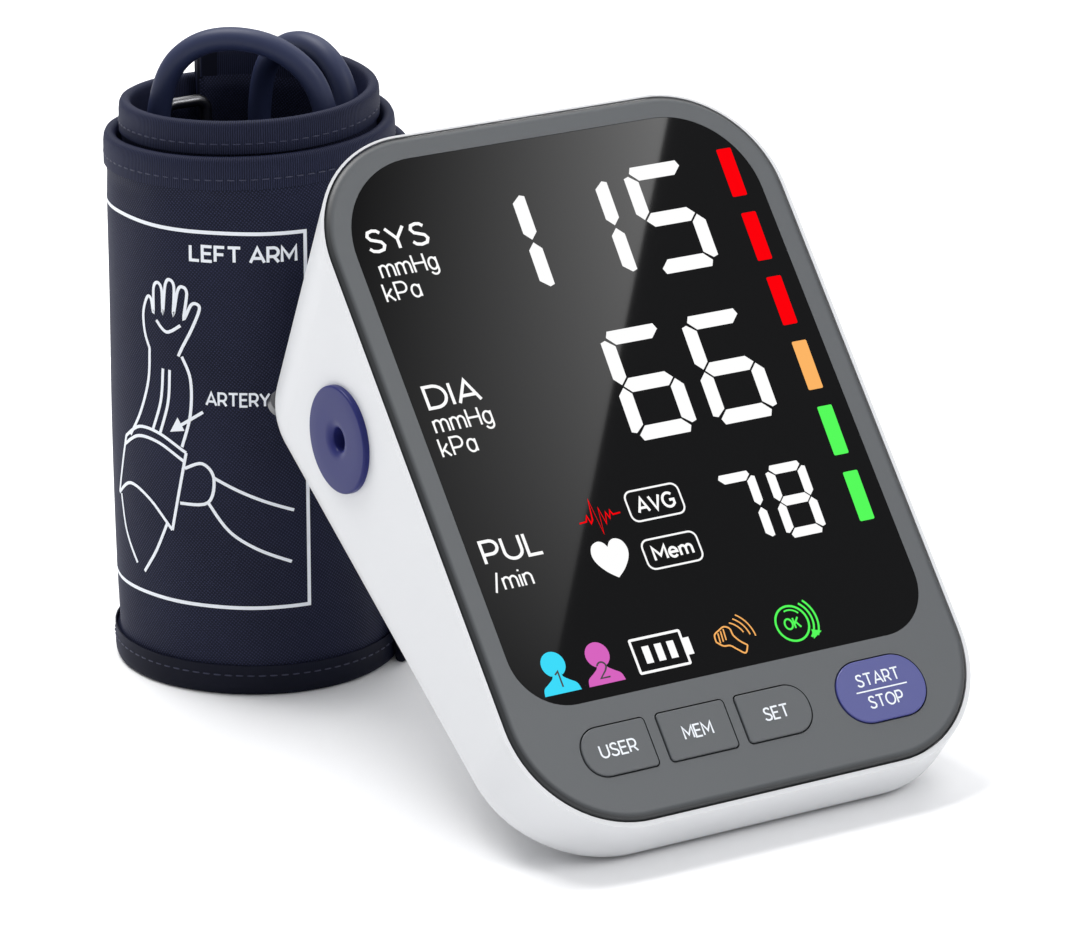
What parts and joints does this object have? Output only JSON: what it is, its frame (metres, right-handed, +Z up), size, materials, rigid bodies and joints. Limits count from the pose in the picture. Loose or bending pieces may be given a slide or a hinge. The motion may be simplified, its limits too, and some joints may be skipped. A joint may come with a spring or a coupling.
{
  "type": "upper arm blood pressure monitor",
  "caption": "Wedge-shaped desk blood pressure monitor with a large display, leaning back on its rolled fabric arm cuff with a looped air hose.",
  "frame": {"origin": "middle of the footprint of the monitor and the standing cuff, on the floor", "axes": "+Z up, the display side faces -Y, the air jack points to -X"},
  "size_m": [0.1246, 0.1898, 0.1449],
  "materials": {
    "white_shell": "satin moulded ABS",
    "white_door": "satin moulded ABS",
    "grey_bezel": "fine satin grey ABS",
    "black_window": "polished black-tinted acrylic",
    "grey_key": "fine satin grey ABS",
    "blue_key": "satin blue ABS",
    "display_cell": "glass cell, near black",
    "light_guide": "white light guide and frame",
    "board": "green solder mask",
    "black_part": "black moulded",
    "screw_steel": "zinc-plated steel",
    "foot_rubber": "soft grey rubber",
    "contact_nickel": "nickel-plated spring steel",
    "jack_blue": "dark blue moulded",
    "motor_steel": "zinc-plated steel",
    "tube_silicone": "translucent silicone",
    "cell_jacket": "printed cell jacket",
    "cuff_fabric": "navy coated nylon",
    "binding_tape": "navy grosgrain tape",
    "bladder_tpu": "welded TPU film",
    "bar_steel": "polished steel wire",
    "hook_tape": "hook tape",
    "loop_tape": "loop tape",
    "hose_blue": "matte slate-blue PVC hose",
    "plug_blue": "dark blue moulded"
  },
  "bodies": {
    "cuff": {"cuff_sleeve": "cuff_fabric", "air_bladder": "bladder_tpu", "closing_bar": "bar_steel", "top_binding": "binding_tape", "bottom_binding": "binding_tape", "loop_patch": "loop_tape", "hook_patch": "hook_tape", "hose_port": "plug_blue", "air_hose": "hose_blue", "air_plug": "plug_blue"},
    "monitor": {"back_case": "white_shell", "front_bezel": "grey_bezel", "display_window": "black_window", "lcd_panel": "display_cell", "backlight": "light_guide", "display_frame": "light_guide", "main_board": "board", "key_switches": "black_part", "case_screws": "screw_steel", "rubber_feet": "foot_rubber", "contact_plates": "contact_nickel", "contact_springs": "contact_nickel", "air_jack": "jack_blue", "jack_nut": "jack_blue", "pump_motor": "motor_steel", "pump_head": "black_part", "pump_clamp": "black_part", "valve_body": "motor_steel", "pressure_sensor": "black_part", "buzzer": "black_part", "pump_tube": "tube_silicone", "valve_tube": "tube_silicone", "battery_1": "cell_jacket", "battery_2": "cell_jacket", "battery_3": "cell_jacket", "battery_4": "cell_jacket"},
    "door": {"battery_door": "white_door"},
    "crank": {"pump_crank": "motor_steel"},
    "plunger": {"valve_plunger": "motor_steel"},
    "user_key": {"user_button": "grey_key"},
    "mem_key": {"mem_button": "grey_key"},
    "set_key": {"set_button": "grey_key"},
    "start_key": {"start_button": "blue_key"}
  },
  "joints": [
    {"name": "lift_off", "type": "slide", "parent": "cuff", "child": "monitor", "axis": [0, 0, 1], "range_m": [0, 0.15]},
    {"name": "user_press", "type": "slide", "parent": "monitor", "child": "user_key", "axis": [0, 0.7649, -0.6441], "range_m": [0, 0.0008], "stiffness_N_per_m": 400, "springref_m": -0.0005},
    {"name": "mem_press", "type": "slide", "parent": "monitor", "child": "mem_key", "axis": [0, 0.7649, -0.6441], "range_m": [0, 0.0008], "stiffness_N_per_m": 400, "springref_m": -0.0005},
    {"name": "set_press", "type": "slide", "parent": "monitor", "child": "set_key", "axis": [0, 0.7649, -0.6441], "range_m": [0, 0.0008], "stiffness_N_per_m": 400, "springref_m": -0.0005},
    {"name": "start_press", "type": "slide", "parent": "monitor", "child": "start_key", "axis": [0, 0.7649, -0.6441], "range_m": [0, 0.0008], "stiffness_N_per_m": 400, "springref_m": -0.0005},
    {"name": "door_hinge", "type": "hinge", "parent": "monitor", "child": "door", "pos_m": [0.0052, 0.01792, 0.06648], "axis": [1, 0, 0], "range_deg": [0, 40]},
    {"name": "pump_spin", "type": "hinge", "parent": "monitor", "child": "crank", "pos_m": [0.0052, 0.00601, 0.09415], "axis": [1, 0, 0], "continuous": true},
    {"name": "valve_draw", "type": "slide", "parent": "monitor", "child": "plunger", "axis": [-1, 0, 0], "range_m": [0, 0.0015], "stiffness_N_per_m": 200, "springref_m": -0.0005}
  ]
}
